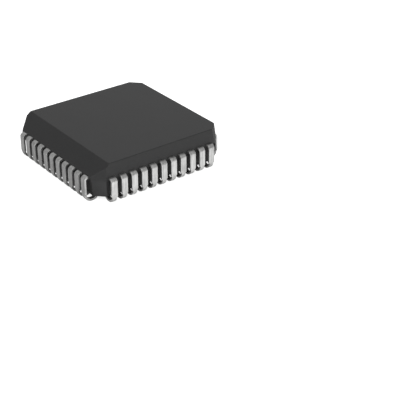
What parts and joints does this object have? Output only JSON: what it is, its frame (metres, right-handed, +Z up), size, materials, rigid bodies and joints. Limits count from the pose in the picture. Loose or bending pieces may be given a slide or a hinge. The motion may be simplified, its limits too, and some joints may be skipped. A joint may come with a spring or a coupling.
{
  "type": "plastic leaded chip carrier",
  "caption": "Square black moulded chip package with cut corners, one bevelled top edge, and tin-plated J-shaped leads along all four sides that curl under the body.",
  "frame": {"origin": "on the seating plane, where the lead bends rest on the board, under the centre of the body", "axes": "+Z is up, out of the flat top face; the bevelled top edge is on the -Y side, with lead 1 in its middle, and the leads count counter-clockwise seen from above"},
  "size_m": [0.0176, 0.0176, 0.0046],
  "materials": {
    "mould_compound": "matt moulded epoxy",
    "tinned_lead": "matt tin plating",
    "copper_alloy": "bare copper alloy strip",
    "adhesive": "cured filled adhesive",
    "silicon": "smooth",
    "gold_wire": "bright drawn wire"
  },
  "bodies": {
    "root": {"molded_body": "mould_compound", "lead_01": "tinned_lead", "lead_02": "tinned_lead", "lead_03": "tinned_lead", "lead_04": "tinned_lead", "lead_05": "tinned_lead", "lead_06": "tinned_lead", "lead_07": "tinned_lead", "lead_08": "tinned_lead", "lead_09": "tinned_lead", "lead_10": "tinned_lead", "lead_11": "tinned_lead", "lead_12": "tinned_lead", "lead_13": "tinned_lead", "lead_14": "tinned_lead", "lead_15": "tinned_lead", "lead_16": "tinned_lead", "lead_17": "tinned_lead", "lead_18": "tinned_lead", "lead_19": "tinned_lead", "lead_20": "tinned_lead", "lead_21": "tinned_lead", "lead_22": "tinned_lead", "lead_23": "tinned_lead", "lead_24": "tinned_lead", "lead_25": "tinned_lead", "lead_26": "tinned_lead", "lead_27": "tinned_lead", "lead_28": "tinned_lead", "lead_29": "tinned_lead", "lead_30": "tinned_lead", "lead_31": "tinned_lead", "lead_32": "tinned_lead", "lead_33": "tinned_lead", "lead_34": "tinned_lead", "lead_35": "tinned_lead", "lead_36": "tinned_lead", "lead_37": "tinned_lead", "lead_38": "tinned_lead", "lead_39": "tinned_lead", "lead_40": "tinned_lead", "lead_41": "tinned_lead", "lead_42": "tinned_lead", "lead_43": "tinned_lead", "lead_44": "tinned_lead", "die_paddle": "copper_alloy", "die_attach": "adhesive", "silicon_die": "silicon", "bond_wires": "gold_wire"}
  },
  "joints": []
}
